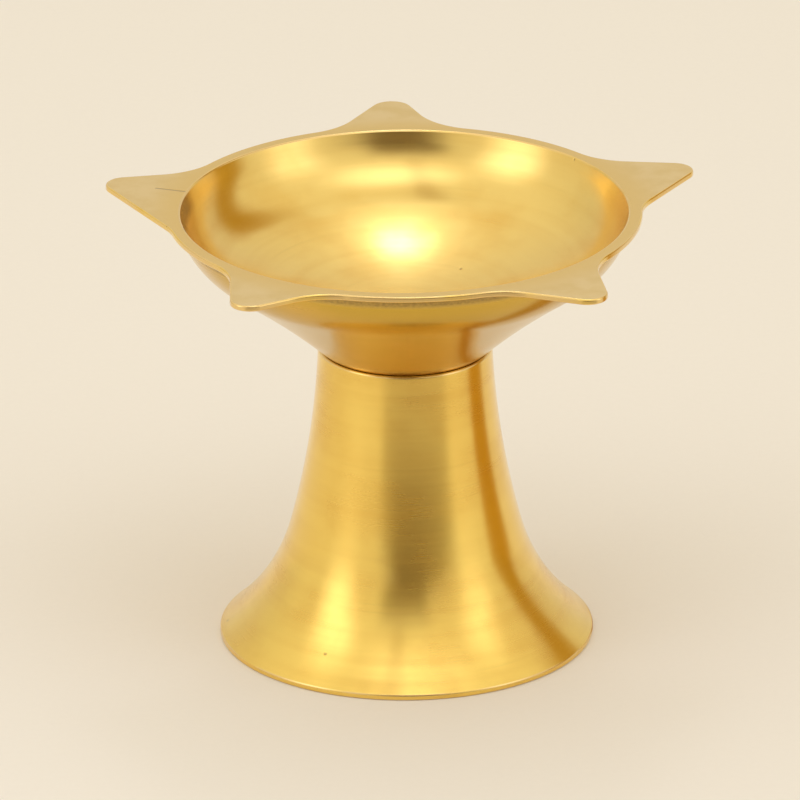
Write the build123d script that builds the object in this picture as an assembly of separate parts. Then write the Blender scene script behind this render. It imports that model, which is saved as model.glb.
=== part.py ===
from build123d import *
import os
from itertools import cycle
from math import cos, hypot, radians, sin, tan

# A five-spouted brass oil lamp: a shallow dish whose rim is drawn out into five wick spouts, screwed
# by a stud onto a trumpet-shaped pedestal that is hollow underneath. All sizes are in millimetres.
# The origin is on the pedestal's axis, on the surface that the lamp stands on. +Z is up, and one
# spout points along +Y.

# Pedestal
pedestal_height = 51.7      # floor to the top of the crown
foot_radius = 31.6          # widest, at the floor
foot_edge = 0.9             # height of the foot's upright edge
foot_edge_round = 0.5       # where the flare turns into the upright edge
sole_round = 0.25           # where the upright edge meets the floor
waist_radius = 19.6         # where the stem's long arc turns into the flare's short one
waist_height = 19.45
neck_radius = 14.7          # at the top of the crown
stem_taper = 2.2            # degrees from upright, at the neck
shell_wall = 1.8            # thickness of the trumpet's wall
crown_thickness = 2.2       # the plate that closes the top
crown_round = 0.45          # the crown's outer edge
crown_corner = 1.5          # inside, between the crown and the wall

# Seat between the crown and the bowl's foot
seam_step = 0.4             # how far the bowl's foot is set in from the neck's edge
washer_radius = 9.0
washer_thickness = 0.8
washer_stand = 0.1          # how far the washer stands above the crown
running_gap = 0.3           # round the washer and round the stud

# Stud and nut
stud_radius = 4.0           # over the thread's crests
thread_pitch = 1.25
thread_gap = 0.15           # between the stud's flanks and the nut's
flank_angle = 30.0          # degrees, between a flank and a plane across the axis
thread_depth_share = 0.61   # of the pitch, from the stud's crests to its roots
stud_crest_share = 0.125    # of the pitch, the flat on the stud's crests
nut_crest_share = 0.0625    # of the pitch, the flat on the nut's crests
ridge_root = 0.1            # how far a thread is let into what carries it
stud_seat_depth = 5.0       # how far the stud goes into the bowl's foot
braze_gap = 0.05            # round the stud in the bowl's foot
stud_tail = 1.0             # how far the stud comes out below the nut
stud_chamfer = 0.4          # at the stud's lower end
shank_drop = 0.5            # how far above the nut the thread ends
nut_sides = 6
nut_flats = 13.0            # across the flats
nut_height = 6.5
nut_chamfer = 0.7           # height of the chamfer on the nut's corners
nut_chamfer_angle = 30.0    # degrees, between the chamfer and the nut's lower face

# Bowl
bowl_height = 24.2          # underside of the foot to the top of the rim
mouth_radius = 37.7         # inner edge of the rim
bowl_depth = 17.0           # rim to the lowest point inside
bowl_wall = 1.1             # thinnest anywhere, measured square to the surface
wall_height = 1.9           # of the straight part of the wall inside, below the rim
wall_lean = 20.0            # degrees from upright, of that part
well_round = 15.0           # inside, where the wall turns into the shallow bottom
flare_slope = 34.0          # degrees from level, where the round underside turns into the flare
rim_thickness = 1.0
rim_land = 2.3              # width of the rim's flat midway between two spouts
rim_round = 0.3             # outer edges of the rim and the spouts
lip_round = 0.4             # inner edge of the rim
bowl_foot_round = 0.25      # edge of the foot's underside

# Spouts
spout_count = 5
spout_length = 14.25        # mouth edge to the tip
spout_half_angle = 31.0     # degrees, between a flank and the spout's middle line
spout_tip_round = 3.4
spout_blend = 12.0          # where a flank runs into the rim's circle
first_spout = 90.0          # degrees from +X

# The spouts are filed by hand, so each differs a little from an even one: degrees round the rim, length,
# degrees of half-angle, and degrees that it leans sideways about its tip
spout_differences = [
    (0.0, 0.0, -5.5, -5.0),
    (0.0, 0.2, 4.5, -10.0),
    (1.0, -0.9, -1.0, 3.0),
    (0.0, 0.0, 0.0, 1.0),
    (1.5, 0.5, 2.0, 5.0),
]

# Heights that follow from the sizes above
crown_underside = pedestal_height - crown_thickness
seat_floor = pedestal_height + washer_stand - washer_thickness
bowl_foot_z = pedestal_height + washer_stand
rim_z = bowl_foot_z + bowl_height
nut_bottom = crown_underside - nut_height
stud_top = bowl_foot_z + stud_seat_depth
stud_bottom = nut_bottom - stud_tail
shank_bottom = crown_underside + shank_drop

# Thread section, with flat crests
slope = tan(radians(flank_angle))
flank_shift = 2 * thread_gap / cos(radians(flank_angle))
stud_crest_width = stud_crest_share * thread_pitch
nut_crest_width = nut_crest_share * thread_pitch
stud_root_radius = stud_radius - thread_depth_share * thread_pitch
nut_bore_radius = stud_radius + thread_gap
nut_crest_depth = (thread_pitch - nut_crest_width - stud_crest_width - flank_shift) / (2 * slope)
nut_crest_radius = stud_radius - nut_crest_depth
hole_radius = stud_radius + running_gap

# The well's wall, the round below it, and the sphere of its bottom that meets the round
lean = radians(wall_lean)
wall_inward = Vector(-cos(lean), sin(lean))
wall_end = Vector(mouth_radius - wall_height * tan(lean), rim_z - wall_height)
round_centre = wall_end + wall_inward * well_round
well_bottom = Vector(0, rim_z - bowl_depth)
round_rise = round_centre.Y - well_bottom.Y
dish_radius = (round_centre.X**2 + round_rise**2 - well_round**2) / (2 * (round_rise - well_round))

# Points closer than this count as one point
same = 1e-4


def turned(profile):
    """Turn a flat section, drawn as radius and height, about the lamp's axis."""
    return revolve(Plane.XZ * profile, Axis.Z)


def block(radius_from, radius_to, bottom, top):
    """A rectangle in a section, given by its radii and its heights."""
    width = radius_to - radius_from
    height = top - bottom
    return Pos(radius_from + width / 2, bottom + height / 2) * Rectangle(width, height)


def corners_at(section, x, y):
    """The corners of a section that lie at one point."""
    return section.vertices().filter_by(lambda v: hypot(v.X - x, v.Y - y) < same)


def trumpet(inset):
    """The trumpet's section from its axis to its side, set in from the outer skin."""
    down = Vector(sin(radians(stem_taper)), -cos(radians(stem_taper)))
    neck = Vector(neck_radius, pedestal_height)
    waist = Vector(waist_radius, waist_height)
    foot = Vector(foot_radius, foot_edge)
    stem = TangentArc(neck, waist, tangent=down)
    flare = TangentArc(waist, foot, tangent=stem % 1)
    skin = [(neck, stem % 0), (waist, stem % 1), (foot, flare % 1)]
    top, middle, low = [p + along.rotate(Axis.Z, -90) * inset for p, along in skin]
    side = TangentArc(top, middle, tangent=stem % 0)
    lower_side = TangentArc(middle, low, tangent=stem % 1)
    rest = Polyline(low, (low.X, -inset), (0, -inset), (0, top.Y), top)
    return make_face(side.edges() + lower_side.edges() + rest.edges())


def thread_ridge(root, root_width, crest, crest_width, bottom, top):
    """A helical ridge between two heights: ruled faces between helices, with flat ends."""
    half_root = root_width / 2
    half_crest = crest_width / 2
    height = top - bottom - root_width
    section = [(root, -half_root), (crest, -half_crest), (crest, half_crest), (root, half_root)]
    helices = [
        Edge.make_helix(thread_pitch, height, radius, (0, 0, bottom + half_root + rise))
        for radius, rise in section
    ]
    sides = [Face.make_surface_from_curves(a, b) for a, b in zip(helices, helices[1:] + helices[:1])]
    ends = [Face(Wire.make_polygon([helix @ t for helix in helices])) for t in (0, 1)]
    return Solid(Shell(sides + ends))


def make_pedestal():
    outside = trumpet(0)
    outside = fillet(corners_at(outside, neck_radius, pedestal_height), crown_round)
    outside = fillet(corners_at(outside, foot_radius, foot_edge), foot_edge_round)
    outside = fillet(corners_at(outside, foot_radius, 0), sole_round)
    cavity = trumpet(shell_wall) & block(0, foot_radius, -shell_wall, crown_underside)
    inner_corner = cavity.vertices().filter_by_position(
        Axis.Y, crown_underside - same, crown_underside + same
    ).sort_by(Axis.X)[-1]
    cavity = fillet(inner_corner, crown_corner)
    stud_hole = block(0, hole_radius, crown_underside, pedestal_height)
    washer_seat = block(0, washer_radius + running_gap, seat_floor, pedestal_height)
    return turned(outside - cavity - stud_hole - washer_seat)


def make_crown_nut():
    outline = RegularPolygon(nut_flats / 2, nut_sides, major_radius=False)
    prism = Pos(0, 0, nut_bottom) * extrude(outline, nut_height)
    corner_radius = nut_flats / 2 / cos(radians(180 / nut_sides))
    chamfer_run = nut_chamfer / tan(radians(nut_chamfer_angle))
    shape = Polyline(
        (0, nut_bottom),
        (corner_radius - chamfer_run, nut_bottom),
        (corner_radius, nut_bottom + nut_chamfer),
        (corner_radius, crown_underside),
        (0, crown_underside),
        close=True,
    )
    bore = turned(block(0, nut_bore_radius, nut_bottom, crown_underside))
    body = prism & turned(make_face(shape)) - bore
    root = nut_bore_radius + ridge_root
    root_width = nut_crest_width + 2 * slope * (root - nut_crest_radius)
    ridge = thread_ridge(root, root_width, nut_crest_radius, nut_crest_width, nut_bottom, crown_underside)
    return body + ridge


def make_seat_washer():
    return turned(block(hole_radius, washer_radius, seat_floor, bowl_foot_z))


def make_bowl_stud():
    root = stud_root_radius
    section = Polyline(
        (0, stud_bottom),
        (root - stud_chamfer, stud_bottom),
        (root, stud_bottom + stud_chamfer),
        (root, shank_bottom),
        (stud_radius, shank_bottom),
        (stud_radius, stud_top),
        (0, stud_top),
        close=True,
    )
    inner = root - ridge_root
    inner_width = stud_crest_width + 2 * slope * (stud_radius - inner)
    ridge_bottom = stud_bottom + stud_chamfer
    # The nut's ridge starts half a turn's rise away, so the stud's ridge lies midway between its turns
    nut_root_width = nut_crest_width + 2 * slope * (nut_bore_radius + ridge_root - nut_crest_radius)
    nut_phase = nut_bottom + nut_root_width / 2 + thread_pitch / 2
    phase = (nut_phase - ridge_bottom - inner_width / 2) % thread_pitch
    ridge = thread_ridge(
        inner, inner_width, stud_radius, stud_crest_width, ridge_bottom + phase, shank_bottom - braze_gap
    )
    return turned(make_face(section)) + ridge


def spout(length, half_angle, lean):
    """A pointed spout along +X, whose flanks run in under the rim's circle."""
    tip_centre = Vector(mouth_radius + length - spout_tip_round, 0)
    middle = Vector(1, 0).rotate(Axis.Z, lean)
    apex = tip_centre + middle * (spout_tip_round / sin(radians(half_angle)))
    normals = [middle.rotate(Axis.Z, 90 - half_angle), middle.rotate(Axis.Z, half_angle - 90)]
    left, right = [normal * (tip_centre.dot(normal) + spout_tip_round) for normal in normals]
    return make_face(Polyline(apex, left, (0, 0), right, close=True))


def star_rim():
    """The rim's outline: a circle with pointed spouts, rounded at the tips and blended at the roots."""
    circle_radius = mouth_radius + rim_land
    outline = Rot(0, 0, first_spout) * Circle(circle_radius)
    for number, difference in zip(range(spout_count), cycle(spout_differences)):
        turn, longer, wider, lean = difference
        turn += first_spout + number * 360 / spout_count
        outline += Rot(0, 0, turn) * spout(spout_length + longer, spout_half_angle + wider, lean)
    tips = outline.vertices().filter_by(lambda v: hypot(v.X, v.Y) > circle_radius + same)
    outline = fillet(tips, spout_tip_round)
    roots = outline.vertices().filter_by(lambda v: abs(hypot(v.X, v.Y) - circle_radius) < same)
    return fillet(roots, spout_blend)


def well():
    """Section of the well, from its axis to its wall."""
    dish_centre = well_bottom + Vector(0, dish_radius)
    dish_end = dish_centre + (round_centre - dish_centre).normalized() * dish_radius
    dish = TangentArc(well_bottom, dish_end, tangent=(1, 0))
    turn_up = TangentArc(dish_end, wall_end, tangent=dish % 1)
    rest = Polyline(wall_end, (mouth_radius, rim_z), (0, rim_z), well_bottom)
    return make_face(dish.edges() + turn_up.edges() + rest.edges())


def bowl_outside():
    """Section of the bowl's outside, from its axis: wall, round underside and flare to the foot."""
    upper = wall_end - wall_inward * bowl_wall
    turn = round_centre + Vector(0, -well_round - bowl_wall).rotate(Axis.Z, flare_slope)
    foot = Vector(neck_radius - seam_step, bowl_foot_z)
    underside = TangentArc(upper, turn, tangent=(-sin(lean), -cos(lean)))
    flare = TangentArc(turn, foot, tangent=underside % 1)
    top = rim_z - rim_thickness / 2
    top_radius = upper.X + (top - upper.Y) * tan(lean)
    rest = Polyline(foot, (0, bowl_foot_z), (0, top), (top_radius, top), upper)
    section = make_face(underside.edges() + flare.edges() + rest.edges())
    return fillet(corners_at(section, foot.X, foot.Y), bowl_foot_round)


def make_bowl():
    section = bowl_outside() - block(0, stud_radius + braze_gap, bowl_foot_z, stud_top)
    rim = Pos(0, 0, rim_z - rim_thickness) * extrude(star_rim(), rim_thickness)
    rim = fillet(rim.edges().group_by(Axis.Z)[0] + rim.edges().group_by(Axis.Z)[-1], rim_round)
    bowl = turned(section) + rim - turned(well())
    rings = bowl.edges().filter_by(GeomType.CIRCLE)
    mouth = rings.filter_by(lambda e: abs(e.radius - mouth_radius) < same)
    return fillet(mouth, lip_round)


pieces = {
    "pedestal": make_pedestal(),
    "crown_nut": make_crown_nut(),
    "seat_washer": make_seat_washer(),
    "bowl": make_bowl(),
    "bowl_stud": make_bowl_stud(),
}

os.makedirs("parts", exist_ok=True)
for name, piece in pieces.items():
    export_step(piece, f"parts/{name}.step")
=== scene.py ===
# The looks of a five-spouted brass oil lamp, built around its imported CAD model. Units are metres.
from math import atan2, ceil, copysign, cos, pi, radians, sin, sqrt, tan

import bpy
from mathutils import Matrix, Quaternion, Vector


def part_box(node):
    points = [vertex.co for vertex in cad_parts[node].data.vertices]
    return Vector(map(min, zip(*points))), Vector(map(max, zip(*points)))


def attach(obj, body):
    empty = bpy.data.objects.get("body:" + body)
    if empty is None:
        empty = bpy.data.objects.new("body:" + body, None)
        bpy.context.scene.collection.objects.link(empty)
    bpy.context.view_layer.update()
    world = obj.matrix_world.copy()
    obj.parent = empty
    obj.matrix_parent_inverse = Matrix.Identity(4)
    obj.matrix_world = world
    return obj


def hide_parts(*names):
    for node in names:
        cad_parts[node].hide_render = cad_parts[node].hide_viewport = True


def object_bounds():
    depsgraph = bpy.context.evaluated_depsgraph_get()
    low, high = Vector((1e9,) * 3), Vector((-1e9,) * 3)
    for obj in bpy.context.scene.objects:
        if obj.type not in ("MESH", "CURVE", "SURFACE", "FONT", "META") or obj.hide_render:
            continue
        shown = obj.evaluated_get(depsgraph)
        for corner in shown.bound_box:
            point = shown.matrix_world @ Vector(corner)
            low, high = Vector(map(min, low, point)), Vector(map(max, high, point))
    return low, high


MM = 0.001

# The photograph's frame: where the lamp's axis stands in it, and its scale there
PHOTO_PIXELS = 800
LAMP_PIXELS = 450.2             # the lamp's height, seen square on
AXIS_PIXEL = (405.5, 421.3)     # where a point of the axis at AXIS_HEIGHT lies
AXIS_HEIGHT = 37.8 * MM
CAMERA_ELEVATION = radians(21.93)
CAMERA_TURN = radians(2.5)      # how far the camera stands left of the -Y axis
CAMERA_ROLL = radians(0.3)      # clockwise
CAMERA_DISTANCE = 2.53
CAMERA_REACH = 100              # the farthest that it sees
SENSOR_WIDTH = 36.0             # in millimetres, as the camera's lens is

# Pedestal's section, as in its solid
FOOT_EDGE = 0.9 * MM
FOOT_EDGE_ROUND = 0.5 * MM
SOLE_ROUND = 0.25 * MM
WAIST = Vector((19.6, 19.45)) * MM
NECK_RADIUS = 14.7 * MM
STEM_TAPER = radians(2.2)
SHELL_WALL = 1.8 * MM
CROWN_THICKNESS = 2.2 * MM
CROWN_ROUND = 0.45 * MM
CROWN_CORNER = 1.5 * MM
SEAT_DEPTH = 0.7 * MM
SEAT_RADIUS = 9.3 * MM
STUD_HOLE = 4.3 * MM
SEAT_ROUND = 0.08 * MM          # the small machined edges of the seat and the holes

# Bowl's section, as in its solid
MOUTH_RADIUS = 37.7 * MM
BOWL_DEPTH = 17.0 * MM
BOWL_WALL = 1.1 * MM
WALL_HEIGHT = 1.9 * MM
WALL_LEAN = radians(20)
WELL_ROUND = 15.0 * MM
FLARE_SLOPE = radians(34)
RIM_THICKNESS = 1.0 * MM
RIM_LAND = 2.3 * MM
RIM_ROUND = 0.3 * MM
LIP_ROUND = 0.4 * MM
SEAM_STEP = 0.4 * MM
BOWL_FOOT_ROUND = 0.25 * MM
STUD_SOCKET = 4.05 * MM
STUD_SOCKET_DEPTH = 5.0 * MM

# Spouts, as in the bowl's solid: how each differs from an even one, by degrees round the rim, millimetres
# of length, degrees of half-angle and degrees of lean about its tip
SPOUT_LENGTH = 14.25 * MM
SPOUT_HALF_ANGLE = 31.0
SPOUT_TIP_ROUND = 3.4 * MM
SPOUT_BLEND = 12.0 * MM
FIRST_SPOUT = 90.0
SPOUT_DIFFERENCES = [
    (0.0, 0.0, -5.5, -5.0),
    (0.0, 0.2, 4.5, -10.0),
    (1.0, -0.9, -1.0, 3.0),
    (0.0, 0.0, 0.0, 1.0),
    (1.5, 0.5, 2.0, 5.0),
]

# Fineness of the meshes
POLE = 0.2 * MM                 # radius of the small fan of faces where a turned surface reaches the axis
PEDESTAL_COLUMNS = 288
RIM_STEP = 0.7 * MM             # along the rim's outline
RIM_INSET = 0.01 * MM           # keeps the outline's curves within the solid's own facets
ARC_STEP = 0.9 * MM             # along the large arcs of a section
ROUND_TURN = radians(15)        # from point to point of a rounded corner
EDGE_STEPS = 5                  # in each quarter round of the rim's edge
FLAT_SHARES = (0.1, 0.3, 0.5, 0.7, 0.9, 1.0)    # where rows lie between the mouth and the edge
UNDERSIDE_SHARES = (0.7, 0.4, 0.1)              # and under the rim, between the wall and the edge

# Zones of the two turned meshes, as a share of each from 0 to 1 on every point. A point with none is plain,
# bright turned brass. lit_inside is a paler copy of the brass, painted so that highlights inside the bowl
# look whiter; shaded_below is a darker copy, painted shade on the bowl's underside; painted_shade is painted
# shade under the rim and in recesses
ZONES = ("lit_inside", "shaded_below", "satin", "cast", "painted_shade", "edge")

# Floor: a large sheet of paper
FLOOR_SIZE = 12.0
FLOOR_DROP = 0.02 * MM          # how far the floor lies under the lamp's foot
FLOOR_COLOUR = (0.894, 0.848, 0.766)
FLOOR_SHADE = (0.874, 0.828, 0.746)
PAPER_FIBRE = 1.2 * MM
PAPER_RELIEF = 0.01             # in millimetres
PAPER_ROUGHNESS, PAPER_GLOSS = 0.9, 0.1

# Soft boxes: degrees round from the camera's side towards +X, degrees up, metres away, width, height,
# radiance on top of the room's own
SOFT_BOXES = {
    "key": (176.5, 57, 0.90, 0.22, 0.18, 6.6),
    "glow": (177.5, 57, 0.88, 0.42, 0.80, 0.36),
    "left": (-66, 28, 0.70, 0.54, 0.80, 1.12),
    "right": (62, 26, 0.70, 0.50, 0.75, 0.68),
    "front": (6, 65, 0.80, 1.10, 0.60, 0.85),
    "tube": (10, 47, 0.80, 0.24, 0.07, 0.25),
}
LIGHT_COLOUR = (0.96, 1.0, 1.18)    # cooler than the room
BOX_FADE = 0.45                 # share of a box's width over which its edge fades

# Room: bright all round and overhead, dim low down on the camera's side, with a dark strip at the right and a
# dark bar overhead. The floor out of the picture has painted shade and a painted dark strip in the same
# places, which only reflections see. Angles are azimuths, from the camera's side towards +X, or elevations. A
# pair of them is mostly where an easing starts and where it ends
ROOM_COLOUR = (1.0, 0.935, 0.80)
ROOM_SIDE, ROOM_BACK, ROOM_HIGH = 0.88, 0.76, 0.98      # radiance at the horizon, behind and overhead
BACK_FROM, BACK_TO = radians(95), radians(130)
HIGH_FROM, HIGH_TO = radians(15), radians(60)
DIM_COLOUR = (0.15, 0.105, 0.07)
DIM_CENTRE, DIM_CENTRE_HIGH = radians(9), radians(-5)   # the dim part's azimuth, low down and higher up
DIM_SHIFT_FROM, DIM_SHIFT_TO = radians(14), radians(22)
DIM_FROM, DIM_TO = radians(32), radians(46)             # how far it reaches to each side, at the horizon
DIM_NARROWING = 1.3                                     # how much narrower it is, for each degree up
DIM_NARROWING_MOST = radians(18)
DIM_LOW, DIM_HIGH = radians(-17), radians(2)            # where it sets in, going up
DIM_TOP, DIM_END = radians(24), radians(41)             # and where it ends
# Painted shade: a dark strip painted on the floor, which only reflections see
PAINTED_FLOOR_STRIP_COLOUR = (0.56, 0.32, 0.03)                       # on the floor
STRIP_HIGH_COLOUR = (0.48, 0.28, 0.02)                  # on the wall
STRIP_CENTRE, STRIP_CENTRE_HIGH = radians(97), radians(130)     # the strip leans back as it rises
STRIP_SHIFT_FROM, STRIP_SHIFT_TO = radians(0), radians(36)
STRIP_HALF, STRIP_EDGE = radians(8.5), radians(16.5)    # how far it reaches to each side
STRIP_TOP, STRIP_END = radians(36), radians(66)
BAR_COLOUR = (0.60, 0.48, 0.33)
BAR_CENTRE = radians(-7)                                # the bar lies a little left of overhead
BAR_HALF, BAR_EDGE = radians(2), radians(5)
BAR_LOW, BAR_FULL = 0.64, 0.76                          # height of a unit vector where it sets in
BAR_BACK, BAR_END = 0.10, 0.25                          # depth of a unit vector where it ends

# Brass: sizes are in metres, and relief heights in millimetres. FROM and TO are mostly the values of a noise
# between which a mark goes from none to full
BRASS_COLOUR = (0.935, 0.655, 0.145)
# Painted light: a paler copy of the brass inside the bowl, so that its highlights look whiter
LIT_INSIDE_COLOUR = (0.90, 0.65, 0.19)
# Painted shade: a darker copy of the brass for the bowl's underside and flare
SHADED_BELOW_COLOUR = (0.66, 0.42, 0.045)
TARNISH_COLOUR = (0.78, 0.47, 0.08)
SATIN_COLOUR = (0.81, 0.61, 0.27)
SATIN_STAIN = (0.76, 0.55, 0.20)
LIP_COLOUR = (0.78, 0.545, 0.16)
LIP_FROM, LIP_TO = 38.0 * MM, 45.0 * MM     # the rim is more golden near the mouth
CAST_COLOUR = (0.52, 0.36, 0.16)
CAST_SHADE = (0.30, 0.19, 0.08)
# Painted shade: the dark colour of painted shade under the rim, in recesses, pits and the crease, of the
# painted dark reflection under the lip, and of hairline scratches
PAINTED_SHADE_AND_SCRATCH_COLOUR = (0.22, 0.13, 0.04)
EDGE_COLOUR = (0.86, 0.61, 0.24)
NUT_COLOUR = (0.72, 0.52, 0.22)
WASHER_COLOUR = (0.76, 0.58, 0.28)
STUD_COLOUR = (0.74, 0.55, 0.24)
TURNED_ROUGHNESS = 0.20
BOWL_ROUGHNESS = 0.18
MACHINED_ROUGHNESS = 0.28
SATIN_ROUGHNESS = 0.42
CAST_ROUGHNESS = 0.60
PAINTED_SHADE_ROUGHNESS = 0.50
PEDESTAL_ANISOTROPY, BOWL_ANISOTROPY, MACHINED_ANISOTROPY = 0.75, 0.40, 0.50
LACQUER, LACQUER_ROUGHNESS = 0.5, 0.15
FINE_RING, FINE_RUN, FINE_RELIEF = 0.30 * MM, 30 * MM, 0.0014
RIPPLE_RING, RIPPLE_RUN, RIPPLE_RELIEF = 2.2 * MM, 40 * MM, 0.010
WOBBLE, WOBBLE_RELIEF = 9.0 * MM, 0.045
GRAIN, GRAIN_RELIEF, CAST_RELIEF = 0.5 * MM, 0.001, 0.06
SOFT_DETAIL, FINE_DETAIL, PATCH_DETAIL = 2.0, 3.0, 4.0  # of noises
PATCH, PATCH_FROM, PATCH_TO, PATCH_TARNISH = 14.0 * MM, 0.42, 0.68, 0.40
STREAK_FROM, STREAK_TO, STREAK_TARNISH = 0.35, 0.75, 0.25
BLOTCH, BLOTCH_FROM, BLOTCH_TO = 5.0 * MM, 0.35, 0.70
# How much painted shade the shaded zone gets, patchy with the grain
PAINTED_SHADE_LEAST, PAINTED_SHADE_IN_GRAIN = 0.3, 0.6
EDGE_WEAR_FROM, EDGE_WEAR_TO = 0.3, 0.6
GROOVE_ROUGHENING, STAIN_ROUGHENING = 0.06, 0.10
SHEEN_TURN = 0.25               # a quarter turn, so that the sheen spreads across the grain
HAIRLINE_RING, HAIRLINE_RUN = 0.20 * MM, 25.0 * MM
HAIRLINE_FROM, HAIRLINE_TO = 0.62, 0.72
HAIRLINE_RELIEF, HAIRLINE_DARKENING = 0.0003, 0.06
RUB_SCALE = (4000, 60, 60)      # marks of rubbing the rim flat on a stone, to and fro
RUB_WAY = (0, 1, 0)
RUB_RELIEF = 0.002
# Painted light: a dark reflection painted in a crescent under the bowl's lip, on one side
DARK_REFLECTION_SIDE = (-0.999, 0.044)     # the side of the bowl with a dark reflection painted under its lip
DARK_REFLECTION_FROM, DARK_REFLECTION_TO = 0.955, 0.99
DARK_REFLECTION_DEPTH = 3.8 * MM
DARK_REFLECTION_STRENGTH = 0.85
CREASE_START, CREASE_END = (-0.0412, 0.0128, 0), (-0.0366, 0.0110, 0)
CREASE_WIDTH = 0.35 * MM
CREASE_RELIEF = 0.12
PIT_SPACING = 5.0 * MM
PIT_SIZE = 0.07                 # as a share of the spacing
PIT_RARITY = 0.93
PIT_RELIEF = 0.04
FOOT_PIT = (-14.6 * MM, -22.7 * MM, 5.05 * MM)  # one pit that the photograph shows
FOOT_PIT_RADIUS = 0.45 * MM
# Painted shade in the pits and the crease
PIT_AND_CREASE_SHADE = 0.5

# Sockets of a Mix node that are for colours
MIX_SHARE, MIX_FIRST, MIX_SECOND, MIX_RESULT = 0, 6, 7, 2


def add_object(name, data):
    """A new object in the scene, of a mesh, a light or a camera."""
    made = bpy.data.objects.new(name, data)
    bpy.context.scene.collection.objects.link(made)
    return made


# Camera

def place_camera(height):
    """Stand the camera where the photograph was taken from, for a lamp of that height."""
    per_pixel = height / LAMP_PIXELS
    tilt, turn = CAMERA_ELEVATION, CAMERA_TURN
    back = Vector((-sin(turn) * cos(tilt), -cos(turn) * cos(tilt), sin(tilt)))
    turned = (-back).to_track_quat("-Z", "Y") @ Quaternion((0, 0, 1), -CAMERA_ROLL)
    right, up = turned @ Vector((1, 0, 0)), turned @ Vector((0, 1, 0))
    across = (PHOTO_PIXELS / 2 - AXIS_PIXEL[0]) * per_pixel
    down = (PHOTO_PIXELS / 2 - AXIS_PIXEL[1]) * per_pixel
    aim = Vector((0, 0, AXIS_HEIGHT)) + right * across - up * down
    data = bpy.data.cameras.new("camera")
    data.sensor_width = SENSOR_WIDTH
    data.lens = SENSOR_WIDTH * CAMERA_DISTANCE / (PHOTO_PIXELS * per_pixel)
    data.clip_end = CAMERA_REACH
    camera = add_object("camera", data)
    camera.matrix_world = Matrix.Translation(aim + back * CAMERA_DISTANCE) @ turned.to_matrix().to_4x4()
    bpy.context.scene.camera = camera


# Nodes

def add_node(tree, kind, links=None, **settings):
    """Add a node, set its properties, and set or link its inputs."""
    node = tree.nodes.new(kind)
    for name, value in settings.items():
        setattr(node, name, value)
    for name, value in (links or {}).items():
        if isinstance(value, bpy.types.NodeSocket):
            tree.links.new(value, node.inputs[name])
        else:
            node.inputs[name].default_value = value
    return node


def calculate(tree, operation, *values):
    """A Math node's result; each value is a number or a socket."""
    return add_node(tree, "ShaderNodeMath", dict(enumerate(values)), operation=operation).outputs[0]


def vector_math(tree, operation, *values):
    """A Vector Math node; each value is a vector or a socket."""
    return add_node(tree, "ShaderNodeVectorMath", dict(enumerate(values)), operation=operation)


def remap(tree, value, low, high, to_low=0.0, to_high=1.0):
    """A value eased from one range to another."""
    links = {"Value": value, "From Min": low, "From Max": high, "To Min": to_low, "To Max": to_high}
    return add_node(tree, "ShaderNodeMapRange", links, interpolation_type="SMOOTHSTEP").outputs["Result"]


def blend_colours(tree, share, first, second):
    """The first colour mixed with a share of the second. Each colour is three numbers or a socket."""
    node = add_node(tree, "ShaderNodeMix", data_type="RGBA")
    tree.links.new(share, node.inputs[MIX_SHARE])
    for number, colour in ((MIX_FIRST, first), (MIX_SECOND, second)):
        if isinstance(colour, bpy.types.NodeSocket):
            tree.links.new(colour, node.inputs[number])
        else:
            node.inputs[number].default_value = (*colour, 1)
    return node.outputs[MIX_RESULT]


def flattened(tree, place):
    """A place moved straight down or up to where z is 0."""
    return vector_math(tree, "MULTIPLY", place, (1, 1, 0)).outputs["Vector"]


def from_axis(tree, place):
    """A place's distance from the lamp's axis."""
    return vector_math(tree, "LENGTH", flattened(tree, place)).outputs["Value"]


# Light

def add_soft_box(name, azimuth, elevation, distance, width, height, radiance):
    """A rectangular light that faces the lamp and fades towards its edges."""
    a, e = radians(azimuth), radians(elevation)
    way = Vector((sin(a) * cos(e), -cos(a) * cos(e), sin(e)))
    data = bpy.data.lights.new(name, "AREA")
    data.shape = "RECTANGLE"
    data.size, data.size_y = width, height
    data.energy = radiance * width * height * pi
    data.color = LIGHT_COLOUR
    data.use_nodes = True
    tree = data.node_tree
    spot = add_node(tree, "ShaderNodeNewGeometry").outputs["Parametric"]
    part = add_node(tree, "ShaderNodeSeparateXYZ", {"Vector": spot})
    strength = 1.0
    for across in (part.outputs["X"], part.outputs["Y"]):
        inset = calculate(tree, "MINIMUM", across, calculate(tree, "SUBTRACT", 1.0, across))
        strength = calculate(tree, "MULTIPLY", strength, remap(tree, inset, 0.0, BOX_FADE))
    tree.links.new(strength, tree.nodes["Emission"].inputs["Strength"])
    light = add_object(name, data)
    light.location = way * distance + Vector((0, 0, AXIS_HEIGHT))
    light.rotation_mode = "QUATERNION"
    light.rotation_quaternion = way.to_track_quat("Z", "Y")
    light.visible_camera = False


def outlook(tree, place):
    """The azimuth and the elevation of a place seen from the lamp."""
    part = add_node(tree, "ShaderNodeSeparateXYZ", {"Vector": place})
    ahead = calculate(tree, "MULTIPLY", part.outputs["Y"], -1.0)
    azimuth = calculate(tree, "ARCTAN2", part.outputs["X"], ahead)
    return azimuth, calculate(tree, "ARCTAN2", part.outputs["Z"], from_axis(tree, place))


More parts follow.
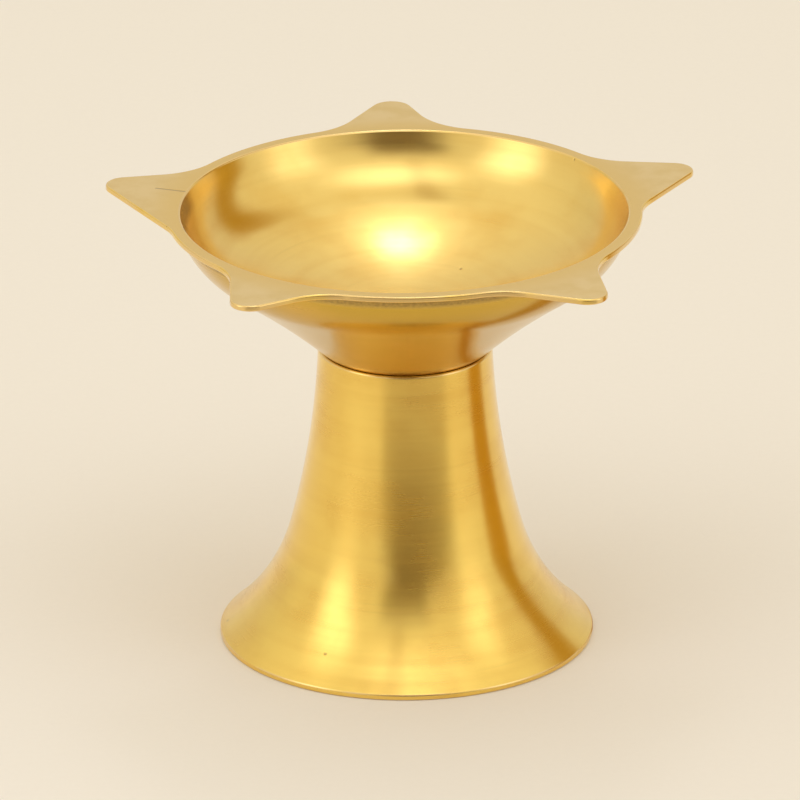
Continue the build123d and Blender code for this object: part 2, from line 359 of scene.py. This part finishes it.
def shaded(tree, colour, strip_colour, azimuth, elevation):
    """A colour of the room or the floor as it is in the dim part and in the dark strip; on the floor both are
    painted shade.
    """
    centre = remap(tree, elevation, DIM_SHIFT_FROM, DIM_SHIFT_TO, DIM_CENTRE, DIM_CENTRE_HIGH)
    aside = calculate(tree, "ABSOLUTE", calculate(tree, "SUBTRACT", azimuth, centre))
    raised = calculate(tree, "MAXIMUM", elevation, 0.0)
    narrower = calculate(tree, "MULTIPLY", raised, DIM_NARROWING)
    spread = calculate(tree, "ADD", aside, calculate(tree, "MINIMUM", narrower, DIM_NARROWING_MOST))
    dim = calculate(tree, "MULTIPLY", remap(tree, spread, DIM_FROM, DIM_TO, 1.0, 0.0),
                    remap(tree, elevation, DIM_LOW, DIM_HIGH))
    dim = calculate(tree, "MULTIPLY", dim, remap(tree, elevation, DIM_TOP, DIM_END, 1.0, 0.0))
    centre = remap(tree, elevation, STRIP_SHIFT_FROM, STRIP_SHIFT_TO, STRIP_CENTRE, STRIP_CENTRE_HIGH)
    beside = calculate(tree, "ABSOLUTE", calculate(tree, "SUBTRACT", azimuth, centre))
    strip = calculate(tree, "MULTIPLY", remap(tree, beside, STRIP_HALF, STRIP_EDGE, 1.0, 0.0),
                      remap(tree, elevation, STRIP_TOP, STRIP_END, 1.0, 0.0))
    return blend_colours(tree, strip, blend_colours(tree, dim, colour, DIM_COLOUR), strip_colour)


def barred(tree, colour, way):
    """A colour of the room with the dark bar across it, for a way seen from the lamp."""
    part = add_node(tree, "ShaderNodeSeparateXYZ", {"Vector": way})
    lean = calculate(tree, "ARCSINE", part.outputs["X"])
    beside = calculate(tree, "ABSOLUTE", calculate(tree, "SUBTRACT", lean, BAR_CENTRE))
    bar = calculate(tree, "MULTIPLY", remap(tree, beside, BAR_HALF, BAR_EDGE, 1.0, 0.0),
                    remap(tree, part.outputs["Y"], BAR_BACK, BAR_END, 1.0, 0.0))
    bar = calculate(tree, "MULTIPLY", bar, remap(tree, part.outputs["Z"], BAR_LOW, BAR_FULL))
    return blend_colours(tree, bar, colour, BAR_COLOUR)


def set_world():
    """The room round the lamp, which the camera sees as plain as the floor."""
    world = bpy.data.worlds.new("studio")
    world.use_nodes = True
    tree = world.node_tree
    way = add_node(tree, "ShaderNodeTexCoord").outputs["Generated"]
    azimuth, elevation = outlook(tree, way)
    behind = calculate(tree, "ABSOLUTE", azimuth)
    level = remap(tree, behind, BACK_FROM, BACK_TO, ROOM_SIDE, ROOM_BACK)
    rise = calculate(tree, "MULTIPLY", calculate(tree, "SUBTRACT", ROOM_HIGH, level),
                     remap(tree, elevation, HIGH_FROM, HIGH_TO))
    lit = vector_math(tree, "SCALE", ROOM_COLOUR)
    tree.links.new(calculate(tree, "ADD", level, rise), lit.inputs["Scale"])
    colour = barred(tree, shaded(tree, lit.outputs["Vector"], STRIP_HIGH_COLOUR, azimuth, elevation), way)
    seen = add_node(tree, "ShaderNodeLightPath").outputs["Is Camera Ray"]
    background = tree.nodes["Background"]
    tree.links.new(blend_colours(tree, seen, colour, FLOOR_COLOUR), background.inputs["Color"])
    bpy.context.scene.world = world


# Materials

def new_material(name):
    """A material, its node tree and its shader."""
    material = bpy.data.materials.new(name)
    material.use_nodes = True
    tree = material.node_tree
    return material, tree, tree.nodes["Principled BSDF"]


def noise(tree, place, scale, detail=SOFT_DETAIL):
    """Soft random values between 0 and 1."""
    links = {"Vector": place, "Scale": scale, "Detail": detail}
    return add_node(tree, "ShaderNodeTexNoise", links).outputs["Fac"]


def rings(tree, place, part, spacing, run):
    """Random values that change from ring to ring round the axis, and slowly along each ring."""
    across = calculate(tree, "DIVIDE", from_axis(tree, place), spacing)
    upward = calculate(tree, "DIVIDE", part.outputs["Z"], spacing)
    aside = calculate(tree, "DIVIDE", part.outputs["X"], run)
    along = calculate(tree, "DIVIDE", part.outputs["Y"], run)
    spot = add_node(tree, "ShaderNodeCombineXYZ", {"X": across, "Y": upward, "Z": aside}).outputs["Vector"]
    links = {"Vector": spot, "W": along, "Scale": 1.0, "Detail": SOFT_DETAIL}
    return add_node(tree, "ShaderNodeTexNoise", links, noise_dimensions="4D").outputs["Fac"]


def crease(tree, place):
    """A short crease in the rim, across the root of one spout."""
    start, end = Vector(CREASE_START), Vector(CREASE_END)
    along = (end - start).normalized()
    reach = vector_math(tree, "SUBTRACT", flattened(tree, place), start).outputs["Vector"]
    run = vector_math(tree, "DOT_PRODUCT", reach, along).outputs["Value"]
    run = calculate(tree, "MINIMUM", calculate(tree, "MAXIMUM", run, 0.0), (end - start).length)
    nearest = vector_math(tree, "SCALE", along)
    tree.links.new(run, nearest.inputs["Scale"])
    off = vector_math(tree, "DISTANCE", reach, nearest.outputs["Vector"]).outputs["Value"]
    return remap(tree, off, CREASE_WIDTH / 4, CREASE_WIDTH, 1.0, 0.0)


def painted_dark_reflection(tree, place, part):
    """A painted dark reflection inside the bowl, in a short stretch under its lip."""
    way = vector_math(tree, "NORMALIZE", flattened(tree, place)).outputs["Vector"]
    side = vector_math(tree, "DOT_PRODUCT", way, (*DARK_REFLECTION_SIDE, 0)).outputs["Value"]
    rim_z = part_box("bowl")[1].z
    depth = remap(tree, part.outputs["Z"], rim_z - DARK_REFLECTION_DEPTH, rim_z - DARK_REFLECTION_DEPTH / 2)
    return calculate(tree, "MULTIPLY", remap(tree, side, DARK_REFLECTION_FROM, DARK_REFLECTION_TO), depth)


def pit_spots(tree, place):
    """Small round casting pits, far apart, and the one that the photograph shows."""
    cells = add_node(tree, "ShaderNodeTexVoronoi", {"Vector": place, "Scale": 1 / PIT_SPACING})
    hole = remap(tree, cells.outputs["Distance"], PIT_SIZE / 2, PIT_SIZE, 1.0, 0.0)
    pick = add_node(tree, "ShaderNodeSeparateXYZ", {"Vector": cells.outputs["Color"]}).outputs["X"]
    scattered = calculate(tree, "MULTIPLY", hole, calculate(tree, "GREATER_THAN", pick, PIT_RARITY))
    off = vector_math(tree, "DISTANCE", place, FOOT_PIT).outputs["Value"]
    seen = remap(tree, off, FOOT_PIT_RADIUS / 2, FOOT_PIT_RADIUS, 1.0, 0.0)
    return calculate(tree, "MAXIMUM", scattered, seen)


def bump(tree, relief):
    """A normal from a relief in millimetres."""
    return add_node(tree, "ShaderNodeBump", {"Height": relief, "Distance": MM}).outputs["Normal"]


def floor_material():
    """Pale matt paper, plain to the camera; out of the picture it has painted shade where the room is dim,
    and a painted dark strip.
    """
    material, tree, shader = new_material("floor_paper")
    place = add_node(tree, "ShaderNodeTexCoord").outputs["Object"]
    fibres = noise(tree, place, 1 / PAPER_FIBRE, FINE_DETAIL)
    paper = blend_colours(tree, fibres, FLOOR_COLOUR, FLOOR_SHADE)
    from_lamp = vector_math(tree, "SUBTRACT", place, (0, 0, AXIS_HEIGHT)).outputs["Vector"]
    seen = add_node(tree, "ShaderNodeLightPath").outputs["Is Camera Ray"]
    # Painted shade and a painted dark strip on the floor, for all rays but the camera's
    painted_floor_shade = shaded(tree, paper, PAINTED_FLOOR_STRIP_COLOUR, *outlook(tree, from_lamp))
    tree.links.new(blend_colours(tree, seen, painted_floor_shade, paper), shader.inputs["Base Color"])
    shader.inputs["Roughness"].default_value = PAPER_ROUGHNESS
    shader.inputs["Specular IOR Level"].default_value = PAPER_GLOSS
    tree.links.new(bump(tree, calculate(tree, "MULTIPLY", fibres, PAPER_RELIEF)), shader.inputs["Normal"])
    return material


def brass_material(name, colour, roughness, anisotropy):
    """Turned brass: rings left by the tool, hand-polished unevenly, with tarnish, hairlines and small pits.

    Zones of the mesh make parts of it paler as painted light, darker as painted shade, satin, rough as cast,
    darkened with painted shade, or rubbed at an edge."""
    material, tree, shader = new_material(name)
    place = add_node(tree, "ShaderNodeTexCoord").outputs["Object"]
    part = add_node(tree, "ShaderNodeSeparateXYZ", {"Vector": place})
    lit_inside, shaded_below, satin, cast, painted_shade, edge = [
        add_node(tree, "ShaderNodeAttribute", attribute_name=zone).outputs["Fac"] for zone in ZONES]
    polished = calculate(tree, "SUBTRACT", 1.0, calculate(tree, "MAXIMUM", satin, cast))

    # Relief, in millimetres
    grooves = rings(tree, place, part, FINE_RING, FINE_RUN)
    ripple = rings(tree, place, part, RIPPLE_RING, RIPPLE_RUN)
    wobble = noise(tree, place, 1 / WOBBLE)
    grain = noise(tree, place, 1 / GRAIN, FINE_DETAIL)
    rubbed = vector_math(tree, "MULTIPLY", place, RUB_SCALE).outputs["Vector"]
    strokes = calculate(tree, "MULTIPLY", noise(tree, rubbed, 1.0), satin)
    hairlines = rings(tree, place, part, HAIRLINE_RING, HAIRLINE_RUN)
    hairlines = calculate(tree, "MULTIPLY", remap(tree, hairlines, HAIRLINE_FROM, HAIRLINE_TO), polished)
    folds = calculate(tree, "MULTIPLY", crease(tree, place), satin)
    pits = pit_spots(tree, place)
    relief = calculate(tree, "MULTIPLY", grooves, calculate(tree, "MULTIPLY", polished, FINE_RELIEF))
    relief = calculate(tree, "MULTIPLY_ADD", ripple, RIPPLE_RELIEF, relief)
    relief = calculate(tree, "MULTIPLY_ADD", wobble, WOBBLE_RELIEF, relief)
    coarse = calculate(tree, "MULTIPLY_ADD", cast, CAST_RELIEF, GRAIN_RELIEF)
    relief = calculate(tree, "MULTIPLY_ADD", grain, coarse, relief)
    relief = calculate(tree, "MULTIPLY_ADD", strokes, RUB_RELIEF, relief)
    relief = calculate(tree, "MULTIPLY_ADD", hairlines, -HAIRLINE_RELIEF, relief)
    relief = calculate(tree, "MULTIPLY_ADD", folds, -CREASE_RELIEF, relief)
    relief = calculate(tree, "MULTIPLY_ADD", pits, -PIT_RELIEF, relief)
    tree.links.new(bump(tree, relief), shader.inputs["Normal"])

    # Colour
    patches = remap(tree, noise(tree, place, 1 / PATCH, PATCH_DETAIL), PATCH_FROM, PATCH_TO)
    streaks = calculate(tree, "MULTIPLY", remap(tree, ripple, STREAK_FROM, STREAK_TO), STREAK_TARNISH)
    stain = calculate(tree, "MULTIPLY_ADD", patches, PATCH_TARNISH, streaks)
    # Painted light: paler brass inside the bowl, for whiter highlights
    tone = blend_colours(tree, lit_inside, colour, LIT_INSIDE_COLOUR)
    # Painted shade on the bowl's underside and flare
    tone = blend_colours(tree, shaded_below, tone, SHADED_BELOW_COLOUR)
    tone = blend_colours(tree, stain, tone, TARNISH_COLOUR)
    # Painted dark reflection, in a crescent under the lip on one side
    dark_reflection_share = calculate(tree, "MULTIPLY", calculate(tree, "MULTIPLY", painted_dark_reflection(tree, place, part), lit_inside), DARK_REFLECTION_STRENGTH)
    tone = blend_colours(tree, dark_reflection_share, tone, PAINTED_SHADE_AND_SCRATCH_COLOUR)
    blotches = remap(tree, noise(tree, place, 1 / BLOTCH, FINE_DETAIL), BLOTCH_FROM, BLOTCH_TO)
    flat = blend_colours(tree, blotches, SATIN_COLOUR, SATIN_STAIN)
    by_mouth = remap(tree, from_axis(tree, place), LIP_FROM, LIP_TO, 1.0, 0.0)
    tone = blend_colours(tree, satin, tone, blend_colours(tree, by_mouth, flat, LIP_COLOUR))
    tone = blend_colours(tree, cast, tone, blend_colours(tree, grain, CAST_COLOUR, CAST_SHADE))
    # Painted shade under the rim, in the washer's seat and round the stud's socket, patchy with the grain
    painted_shade_share = calculate(tree, "MULTIPLY_ADD", grain, PAINTED_SHADE_IN_GRAIN, PAINTED_SHADE_LEAST)
    tone = blend_colours(tree, calculate(tree, "MULTIPLY", painted_shade, painted_shade_share), tone, PAINTED_SHADE_AND_SCRATCH_COLOUR)
    rubbed_edge = calculate(tree, "MULTIPLY", edge, remap(tree, wobble, EDGE_WEAR_FROM, EDGE_WEAR_TO))
    tone = blend_colours(tree, rubbed_edge, tone, EDGE_COLOUR)
    # Painted shade in the pits and the crease, with the hairline scratches' own darkening
    painted_shade_and_scratches = calculate(tree, "MULTIPLY", calculate(tree, "MAXIMUM", pits, folds), PIT_AND_CREASE_SHADE)
    painted_shade_and_scratches = calculate(tree, "MULTIPLY_ADD", hairlines, HAIRLINE_DARKENING, painted_shade_and_scratches)
    tree.links.new(blend_colours(tree, painted_shade_and_scratches, tone, PAINTED_SHADE_AND_SCRATCH_COLOUR), shader.inputs["Base Color"])

    # Sheen
    rough = calculate(tree, "MULTIPLY_ADD", grooves, GROOVE_ROUGHENING, roughness)
    rough = calculate(tree, "MULTIPLY_ADD", stain, STAIN_ROUGHENING, rough)
    for zone, zone_roughness in ((satin, SATIN_ROUGHNESS), (cast, CAST_ROUGHNESS), (painted_shade, PAINTED_SHADE_ROUGHNESS)):
        gap = calculate(tree, "SUBTRACT", zone_roughness, rough)
        rough = calculate(tree, "MULTIPLY_ADD", gap, zone, rough)
    tree.links.new(rough, shader.inputs["Roughness"])
    shader.inputs["Metallic"].default_value = 1
    shader.inputs["Coat Weight"].default_value = LACQUER
    shader.inputs["Coat Roughness"].default_value = LACQUER_ROUGHNESS
    shader.inputs["Anisotropic"].default_value = anisotropy
    shader.inputs["Anisotropic Rotation"].default_value = SHEEN_TURN
    around = vector_math(tree, "CROSS_PRODUCT", (0, 0, 1), place).outputs["Vector"]
    around = vector_math(tree, "NORMALIZE", around).outputs["Vector"]
    grain_way = blend_colours(tree, satin, around, RUB_WAY)
    turned = add_node(tree, "ShaderNodeVectorTransform", {"Vector": grain_way}, vector_type="VECTOR",
                      convert_from="OBJECT", convert_to="WORLD")
    tree.links.new(turned.outputs["Vector"], shader.inputs["Tangent"])
    return material


# Turned shapes: sections are drawn as radius and height, with the air on the left of the path

def turned_by(vector, angle):
    """A flat vector turned anticlockwise."""
    c, s = cos(angle), sin(angle)
    return Vector((vector.x * c - vector.y * s, vector.x * s + vector.y * c))


def toward(angle):
    """A flat vector of length 1."""
    return Vector((cos(angle), sin(angle)))


def arc(start, way, end, step=ARC_STEP, turn_step=pi):
    """Points of the arc that leaves start in a given way and reaches end, and its way there."""
    way = way.normalized()
    left = Vector((-way.y, way.x))
    chord = end - start
    turn = 2 * atan2(chord.dot(left), chord.dot(way))
    centre = start + left * (chord.length_squared / (2 * chord.dot(left)))
    count = max(2, ceil((start - centre).length * abs(turn) / step), ceil(abs(turn) / turn_step))
    points = [centre + turned_by(start - centre, turn * number / count) for number in range(count + 1)]
    return points, turned_by(way, turn)


def section(strokes):
    """Join strokes end to end. Each is its points, the radius of the corner at its end, and its zone.

    Gives the points as a list of place, zone and whether the point is on a rounded edge."""
    path = []
    rest = None
    for number, (stroke, radius, zone) in enumerate(strokes):
        points = list(stroke[1:]) if path else list(stroke)
        if rest:
            corner, taken, leave = rest
            points = [leave] + [p for p in points if (p - corner).length > taken]
        rest = None
        if radius:
            onward = strokes[(number + 1) % len(strokes)][0]
            corner = stroke[-1]
            come = (corner - stroke[-2]).normalized()
            go = (onward[1] - onward[0]).normalized()
            taken = radius * tan(come.angle(go) / 2)
            enter, leave = corner - come * taken, corner + go * taken
            points = [p for p in points if (p - corner).length > taken] + [enter]
            rest = corner, taken, leave
        path += [(p, zone, 0.0) for p in points]
        if rest:
            rounded, _ = arc(enter, come, leave, turn_step=ROUND_TURN)
            path += [(p, zone, 1.0) for p in rounded[1:-1]]
    return path


def section_normals(places, closed):
    """The way out into the air at each point of a section, weighted by the length of its two sides."""
    count = len(places)
    normals = []
    for number in range(count):
        total = Vector((0, 0))
        for a, b in ((number - 1, number), (number, number + 1)):
            if closed or (a >= 0 and b < count):
                side = places[b % count] - places[a % count]
                total += Vector((-side.y, side.x))
        normals.append(total.normalized())
    return normals


def grid_object(name, rows, closed):
    """A mesh of rows of points round the axis. A row is its points, its normals and its shares of zones.

    The last row joins the first one if the rows are closed. Otherwise a fan on the axis closes each end."""
    columns = len(rows[0][0])
    mesh = bpy.data.meshes.new(name)
    places = [place for row in rows for place in row[0]]
    normals = [normal for row in rows for normal in row[1]]
    shares = [row[2] for row in rows for _ in range(columns)]
    faces = []
    last = len(rows) if closed else len(rows) - 1
    for i in range(last):
        here, there = i * columns, (i + 1) % len(rows) * columns
        for j in range(columns):
            k = (j + 1) % columns
            faces.append((here + j, there + j, there + k, here + k))
    ends = [] if closed else [(0, 1), (len(rows) - 1, -1)]
    for number, step in ends:
        points, ways, share = rows[number]
        first, tip = number * columns, len(places)
        faces += [(tip, first + j, first + (j + step) % columns) for j in range(columns)]
        places.append((0, 0, points[0][2]))
        normals.append((0, 0, copysign(1, ways[0][2])))
        shares.append(share)
    mesh.from_pydata(places, [], faces)
    mesh.shade_smooth()
    mesh.normals_split_custom_set_from_vertices(normals)
    for zone in ZONES:
        values = [share.get(zone, 0.0) for share in shares]
        mesh.attributes.new(zone, "FLOAT", "POINT").data.foreach_set("value", values)
    return add_object(name, mesh)


def turned_rows(path, normals, columns):
    """Rows of a turned surface. Columns are unit vectors round the axis."""
    rows = []
    for (place, zone, edge), normal in zip(path, normals):
        points = [(way.x * place.x, way.y * place.x, place.y) for way in columns]
        ways = [(way.x * normal.x, way.y * normal.x, normal.y) for way in columns]
        rows.append((points, ways, {zone: 1.0, "edge": edge}))
    return rows


# Pedestal

def make_pedestal():
    """The trumpet-shaped stand, hollow underneath, with a seat for the washer in its crown."""
    _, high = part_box("pedestal")
    top, foot_radius = high.z, high.x
    down = Vector((sin(STEM_TAPER), -cos(STEM_TAPER)))
    neck = Vector((NECK_RADIUS, top))
    foot = Vector((foot_radius, FOOT_EDGE))
    stem, waist_way = arc(neck, down, WAIST)
    flare, foot_way = arc(WAIST, waist_way, foot)

    def inside(place, way):
        """The place on the inner side of the wall, across from one on the outside."""
        return place + Vector((way.y, -way.x)) * SHELL_WALL

    low_inside = inside(foot, foot_way)
    inner_flare, _ = arc(low_inside, -foot_way, inside(WAIST, waist_way))
    above = [place for place in inner_flare if place.y > 0]
    under = inner_flare[-len(above) - 1]
    sole_in = under.lerp(above[0], under.y / (under.y - above[0].y))
    inner_flare = [sole_in] + above
    inner_stem, _ = arc(inside(WAIST, waist_way), -waist_way, inside(neck, down))
    ceiling = top - CROWN_THICKNESS
    inner_stem = [place for place in inner_stem if place.y < ceiling]
    inner_stem.append(Vector((inner_stem[-1].x, ceiling)))
    seat_floor = top - SEAT_DEPTH
    hole_foot, hole_top = Vector((STUD_HOLE, ceiling)), Vector((STUD_HOLE, seat_floor))
    seat_corner, seat_edge = Vector((SEAT_RADIUS, seat_floor)), Vector((SEAT_RADIUS, top))
    sole_out = Vector((foot_radius, 0))
    path = section([
        # The washer's seat is darkened with painted shade
        ([hole_top, seat_corner], 0, "painted_shade"),
        ([seat_corner, seat_edge], SEAT_ROUND, "painted_shade"),
        ([seat_edge, neck], CROWN_ROUND, "turned"),
        (stem, 0, "turned"),
        (flare, FOOT_EDGE_ROUND, "turned"),
        ([foot, sole_out], SOLE_ROUND, "turned"),
        ([sole_out, sole_in], SOLE_ROUND, "cast"),
        (inner_flare, 0, "cast"),
        (inner_stem, CROWN_CORNER, "cast"),
        ([inner_stem[-1], hole_foot], SEAT_ROUND, "cast"),
        ([hole_foot, hole_top], SEAT_ROUND, "cast"),
    ])
    normals = section_normals([place for place, zone, edge in path], True)
    columns = [toward(2 * pi * number / PEDESTAL_COLUMNS) for number in range(PEDESTAL_COLUMNS)]
    piece = grid_object("turned_pedestal", turned_rows(path, normals, columns), True)
    piece.data.materials.append(brass_material(
        "pedestal_brass", BRASS_COLOUR, TURNED_ROUGHNESS, PEDESTAL_ANISOTROPY))
    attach(piece, "pedestal")
    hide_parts("pedestal")


# Bowl

def outline_arc(centre, radius, start, end, hollow):
    """Points and outward normals along an arc of the rim's outline, without its last point."""
    turn = (end - start + pi) % (2 * pi) - pi
    count = max(3, ceil(radius * abs(turn) / RIM_STEP), ceil(abs(turn) / ROUND_TURN))
    ways = [toward(start + turn * number / count) for number in range(count)]
    return [(centre + way * radius, -way if hollow else way) for way in ways]


def outline_line(start, end, normal):
    """Points and outward normals along a straight flank, without its last point."""
    count = max(1, ceil((end - start).length / RIM_STEP))
    return [(start.lerp(end, number / count), normal) for number in range(count)]


def spout_outline(turn, length, half_angle, lean):
    """Outline of a spout and its two blends, anticlockwise, and the angles where it leaves the rim."""
    rim = MOUTH_RADIUS + RIM_LAND
    tip_centre = toward(turn) * (MOUTH_RADIUS + length - SPOUT_TIP_ROUND)
    flanks = []
    for side in (-1, 1):
        facing = turn + lean + side * (pi / 2 - half_angle)
        normal, along = toward(facing), toward(facing - side * pi / 2)
        offset = tip_centre.dot(normal) + SPOUT_TIP_ROUND + SPOUT_BLEND
        centre = normal * offset + along * sqrt((rim + SPOUT_BLEND) ** 2 - offset**2)
        flanks.append((facing, normal, centre, atan2(-centre.y, -centre.x)))
    (right, right_normal, right_centre, right_root), (left, left_normal, left_centre, left_root) = flanks
    points = outline_arc(right_centre, SPOUT_BLEND, right_root, right + pi, True)
    points += outline_line(right_centre - right_normal * SPOUT_BLEND,
                           tip_centre + right_normal * SPOUT_TIP_ROUND, right_normal)
    points += outline_arc(tip_centre, SPOUT_TIP_ROUND, right, left, False)
    points += outline_line(tip_centre + left_normal * SPOUT_TIP_ROUND,
                           left_centre - left_normal * SPOUT_BLEND, left_normal)
    points += outline_arc(left_centre, SPOUT_BLEND, left + pi, left_root, True)
    return points, right_root + pi, left_root + pi


def rim_outline():
    """Points and outward normals of the rim's outline, anticlockwise."""
    spouts = []
    for number, (turn, longer, wider, lean) in enumerate(SPOUT_DIFFERENCES):
        turn = radians(turn + FIRST_SPOUT + number * 360 / len(SPOUT_DIFFERENCES))
        half_angle = radians(SPOUT_HALF_ANGLE + wider)
        spouts.append(spout_outline(turn, SPOUT_LENGTH + longer * MM, half_angle, radians(lean)))
    points = []
    for number, (spout, _, leaves) in enumerate(spouts):
        following = spouts[(number + 1) % len(spouts)][1]
        points += spout
        points += outline_arc(Vector((0, 0)), MOUTH_RADIUS + RIM_LAND, leaves, following, False)
    return [(place - normal * RIM_INSET, normal) for place, normal in points]


def flange_rows(outline, columns, rim_z, mouth_end, wall_start):
    """Rows of the rim's flat, its rounded edge and its underside, out to the star and back."""
    up, down = Vector((0, 0, 1)), Vector((0, 0, -1))

    def level_row(radius, share, z, normal, zone):
        """A row at one height, that share of the way from a circle out to the edge."""
        points = []
        for (place, outward), way in zip(outline, columns):
            edge = place - outward * RIM_ROUND
            flat = (way * radius).lerp(edge, share)
            points.append((flat.x, flat.y, z))
        return points, [tuple(normal)] * len(columns), {zone: 1.0}

    low = rim_z - RIM_THICKNESS
    rows = [level_row(mouth_end, share, rim_z, up, "satin") for share in FLAT_SHARES]
    turns = [pi / 2 * number / EDGE_STEPS for number in range(1, EDGE_STEPS + 1)]
    rounds = [(turn, rim_z - RIM_ROUND) for turn in turns]
    rounds += [(pi - turn, low + RIM_ROUND) for turn in reversed(turns)]
    for turn, centre_z in rounds:
        out, z = sin(turn), centre_z + RIM_ROUND * cos(turn)
        points, normals = [], []
        for place, outward in outline:
            spot = place - outward * RIM_ROUND * (1 - out)
            points.append((spot.x, spot.y, z))
            normals.append((outward.x * out, outward.y * out, cos(turn)))
        rows.append((points, normals, {"edge": 1.0}))
    # Painted shade under the rim
    rows += [level_row(wall_start, share, low, down, "painted_shade") for share in UNDERSIDE_SHARES]
    return rows


def make_bowl():
    """The dish, its rim drawn out into five spouts, and its flare down to the foot."""
    low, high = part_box("bowl")
    rim_z, foot_z = high.z, low.z
    inward = Vector((-cos(WALL_LEAN), sin(WALL_LEAN)))
    wall_end = Vector((MOUTH_RADIUS - WALL_HEIGHT * tan(WALL_LEAN), rim_z - WALL_HEIGHT))
    round_centre = wall_end + inward * WELL_ROUND
    bottom = rim_z - BOWL_DEPTH
    rise = round_centre.y - bottom
    dish_radius = (round_centre.length_squared - round_centre.y**2 + rise**2 - WELL_ROUND**2) / (
        2 * (rise - WELL_ROUND))
    dish_centre = Vector((0, bottom + dish_radius))
    dish_end = dish_centre + (round_centre - dish_centre).normalized() * dish_radius
    start = dish_centre - toward(pi / 2 - POLE / dish_radius) * dish_radius
    start.x = -start.x
    dish, dish_way = arc(start, Vector((1, POLE / dish_radius)), dish_end)
    turn_up, _ = arc(dish_end, dish_way, wall_end)
    mouth = Vector((MOUTH_RADIUS, rim_z))
    land = Vector((MOUTH_RADIUS + RIM_LAND, rim_z))
    # The inside is paler brass, painted light for whiter highlights
    inner = section([
        (dish, 0, "lit_inside"),
        (turn_up, 0, "lit_inside"),
        ([wall_end, mouth], LIP_ROUND, "lit_inside"),
        ([mouth, land], 0, "satin"),
    ])[:-1]
    # Outside: the wall and the round grown outwards by the wall's thickness, and a flare to the foot
    upper = wall_end - inward * BOWL_WALL
    drop = rim_z - RIM_THICKNESS - upper.y
    wall_top = Vector((upper.x + drop * tan(WALL_LEAN), upper.y + drop))
    flare_start = round_centre + toward(FLARE_SLOPE - pi / 2) * (WELL_ROUND + BOWL_WALL)
    foot = Vector((NECK_RADIUS - SEAM_STEP, foot_z))
    underside, flare_way = arc(upper, upper - wall_top, flare_start)
    flare, _ = arc(flare_start, flare_way, foot)
    socket_edge = Vector((STUD_SOCKET, foot_z))
    socket_top = Vector((STUD_SOCKET, foot_z + STUD_SOCKET_DEPTH))
    outer = section([
        # Painted shade under the rim
        ([wall_top, upper], 0, "painted_shade"),
        # The underside and the flare are a darker copy of the brass, painted shade
        (underside, 0, "shaded_below"),
        (flare, BOWL_FOOT_ROUND, "shaded_below"),
        # Painted shade round the stud's socket
        ([foot, socket_edge], SEAT_ROUND, "painted_shade"),
        ([socket_edge, socket_top], 0, "cast"),
        ([socket_top, Vector((POLE, socket_top.y))], 0, "cast"),
    ])
    outline = rim_outline()
    columns = [place.normalized() for place, normal in outline]
    inner_places = [place for place, zone, edge in inner]
    outer_places = [place for place, zone, edge in outer]
    inner_normals = section_normals(inner_places + [land], False)[:-1]
    outer_normals = section_normals([Vector((MOUTH_RADIUS + RIM_LAND, wall_top.y))] + outer_places, False)[1:]
    rows = turned_rows(inner, inner_normals, columns)
    rows += flange_rows(outline, columns, rim_z, inner_places[-1].x, wall_top.x)
    rows += turned_rows(outer, outer_normals, columns)
    piece = grid_object("spouted_bowl", rows, False)
    piece.data.materials.append(brass_material(
        "bowl_brass", BRASS_COLOUR, BOWL_ROUGHNESS, BOWL_ANISOTROPY))
    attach(piece, "bowl")
    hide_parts("bowl")


# Floor

def add_floor(low):
    """A level sheet of paper at that height."""
    half = FLOOR_SIZE / 2
    mesh = bpy.data.meshes.new("floor")
    corners = [(-half, -half, low), (half, -half, low), (half, half, low), (-half, half, low)]
    mesh.from_pydata(corners, [], [(0, 1, 2, 3)])
    mesh.materials.append(floor_material())
    floor = add_object("floor", mesh)


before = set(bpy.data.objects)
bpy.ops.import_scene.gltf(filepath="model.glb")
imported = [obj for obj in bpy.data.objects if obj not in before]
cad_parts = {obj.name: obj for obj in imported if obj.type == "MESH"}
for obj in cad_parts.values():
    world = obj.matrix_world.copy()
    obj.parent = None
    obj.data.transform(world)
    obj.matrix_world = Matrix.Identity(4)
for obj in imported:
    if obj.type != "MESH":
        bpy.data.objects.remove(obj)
cad_low, cad_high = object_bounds()
for name, colour in (("crown_nut", NUT_COLOUR), ("seat_washer", WASHER_COLOUR), ("bowl_stud", STUD_COLOUR)):
    material = brass_material(name + "_brass", colour, MACHINED_ROUGHNESS, MACHINED_ANISOTROPY)
    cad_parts[name].material_slots[0].material = material
make_pedestal()
make_bowl()
place_camera(cad_high.z - cad_low.z)
add_floor(cad_low.z - FLOOR_DROP)
set_world()
for name, values in SOFT_BOXES.items():
    add_soft_box(name, *values)
bpy.context.scene.view_settings.view_transform = "Standard"
